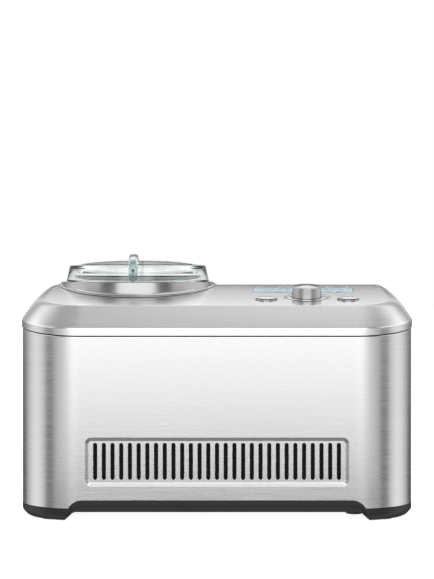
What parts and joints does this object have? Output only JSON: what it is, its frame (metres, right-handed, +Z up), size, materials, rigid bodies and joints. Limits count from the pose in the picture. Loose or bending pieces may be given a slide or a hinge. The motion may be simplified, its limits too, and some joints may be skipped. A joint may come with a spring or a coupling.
{
  "type": "countertop ice cream maker",
  "caption": "Steel-clad countertop ice cream maker with a lift-out bowl under a clear lid, a paddle drive, a knob, keys and a cooling circuit.",
  "frame": {"origin": "on the table, under the middle of the cabinet's bounding box", "axes": "+X to the right along the longest side, +Y to the back, +Z up; the control deck faces up and to -Y"},
  "size_m": [0.3958, 0.283, 0.264],
  "materials": {
    "brushed_steel": "horizontal brushed grain, satin",
    "polished_metal": "polished",
    "knob_metal": "turned, satin",
    "clear_plastic": "clear, glossy",
    "black_plastic": "fine satin texture",
    "white_plastic": "moulded, satin",
    "rubber": "matte",
    "display": "glossy window over a pale blue display",
    "circuit_board": "solder mask",
    "aluminium": "spun, satin",
    "machined_steel": "machined",
    "copper": "drawn copper tube",
    "foam": "moulded foam skin",
    "dark_enamel": "semi-gloss enamel"
  },
  "bodies": {
    "root": {"base_screw_1": "machined_steel", "base_screw_2": "machined_steel", "base_screw_3": "machined_steel", "base_screw_4": "machined_steel", "base_tray": "black_plastic", "body_sleeve": "brushed_steel", "bowl_collar": "polished_metal", "compressor": "dark_enamel", "compressor_grommet_1": "rubber", "compressor_grommet_2": "rubber", "compressor_grommet_3": "rubber", "compressor_grommet_4": "rubber", "condenser": "aluminium", "control_board": "circuit_board", "discharge_tube": "copper", "display_module": "circuit_board", "display_window": "display", "evaporator_can": "aluminium", "evaporator_coil": "copper", "fan_frame": "black_plastic", "filter_drier": "copper", "foot_pad_front_left": "rubber", "foot_pad_front_right": "rubber", "foot_pad_rear_left": "rubber", "foot_pad_rear_right": "rubber", "gearbox_base": "black_plastic", "gearbox_cover": "black_plastic", "inlet_surround": "black_plastic", "insulation_ring": "foam", "knob_encoder": "dark_enamel", "knob_ring": "knob_metal", "liquid_tube_cold": "copper", "liquid_tube_warm": "copper", "paddle_motor": "aluminium", "power_inlet": "black_plastic", "shaft_bush": "white_plastic", "shaft_seal": "rubber", "suction_tube": "copper", "top_cover": "brushed_steel"},
    "knob": {"control_knob": "knob_metal", "knob_shaft": "aluminium"},
    "power_key": {"power_button": "polished_metal"},
    "start_key": {"start_button": "polished_metal"},
    "setting_key_1": {"setting_button_1": "polished_metal"},
    "setting_key_2": {"setting_button_2": "polished_metal"},
    "setting_key_3": {"setting_button_3": "polished_metal"},
    "setting_key_4": {"setting_button_4": "polished_metal"},
    "bowl": {"removable_bowl": "aluminium", "bowl_bail": "polished_metal"},
    "lid": {"lid": "clear_plastic", "lid_liner": "clear_plastic", "lid_handle": "clear_plastic", "lid_lug": "clear_plastic"},
    "paddle": {"paddle": "white_plastic"},
    "drive": {"drive_shaft": "machined_steel", "drive_gear": "white_plastic"},
    "motor_rotor": {"motor_shaft": "machined_steel", "motor_pinion": "white_plastic"},
    "fan": {"fan_rotor": "black_plastic"}
  },
  "joints": [
    {"name": "knob_turn", "type": "hinge", "parent": "root", "child": "knob", "pos_m": [0.0905, -0.0865, 0.2203], "axis": [0, -0.1794, 0.9838], "continuous": true},
    {"name": "power_press", "type": "slide", "parent": "root", "child": "power_key", "axis": [0, 0.1845, -0.9828], "range_m": [0, 0.001], "stiffness_N_per_m": 500, "springref_m": -0.002},
    {"name": "start_press", "type": "slide", "parent": "root", "child": "start_key", "axis": [0, 0.1845, -0.9828], "range_m": [0, 0.001], "stiffness_N_per_m": 500, "springref_m": -0.002},
    {"name": "setting_press_1", "type": "slide", "parent": "root", "child": "setting_key_1", "axis": [0, 0.1214, -0.9926], "range_m": [0, 0.0006], "stiffness_N_per_m": 500, "springref_m": -0.002},
    {"name": "setting_press_2", "type": "slide", "parent": "root", "child": "setting_key_2", "axis": [0, 0.1214, -0.9926], "range_m": [0, 0.0006], "stiffness_N_per_m": 500, "springref_m": -0.002},
    {"name": "setting_press_3", "type": "slide", "parent": "root", "child": "setting_key_3", "axis": [0, 0.1214, -0.9926], "range_m": [0, 0.0006], "stiffness_N_per_m": 500, "springref_m": -0.002},
    {"name": "setting_press_4", "type": "slide", "parent": "root", "child": "setting_key_4", "axis": [0, 0.1214, -0.9926], "range_m": [0, 0.0006], "stiffness_N_per_m": 500, "springref_m": -0.002},
    {"name": "bowl_lift", "type": "slide", "parent": "root", "child": "bowl", "axis": [0, 0, 1], "range_m": [0, 0.15]},
    {"name": "lid_lift", "type": "slide", "parent": "bowl", "child": "lid", "axis": [0, 0, 1], "range_m": [0, 0.06]},
    {"name": "paddle_spin", "type": "hinge", "parent": "bowl", "child": "paddle", "pos_m": [-0.0837, 0, 0.12], "axis": [0, 0, 1], "continuous": true},
    {"name": "drive_spin", "type": "hinge", "parent": "root", "child": "drive", "pos_m": [-0.0837, 0, 0.07], "axis": [0, 0, 1], "continuous": true},
    {"name": "motor_spin", "type": "hinge", "parent": "root", "child": "motor_rotor", "pos_m": [-0.0462, 0, 0.07], "axis": [0, 0, 1], "continuous": true},
    {"name": "fan_spin", "type": "hinge", "parent": "root", "child": "fan", "pos_m": [0.133, 0, 0.08], "axis": [1, 0, 0], "continuous": true}
  ],
  "couplings": [
    {"joint": "motor_spin", "follows": "drive_spin", "ratio": -4},
    {"joint": "paddle_spin", "follows": "drive_spin", "ratio": 1}
  ]
}
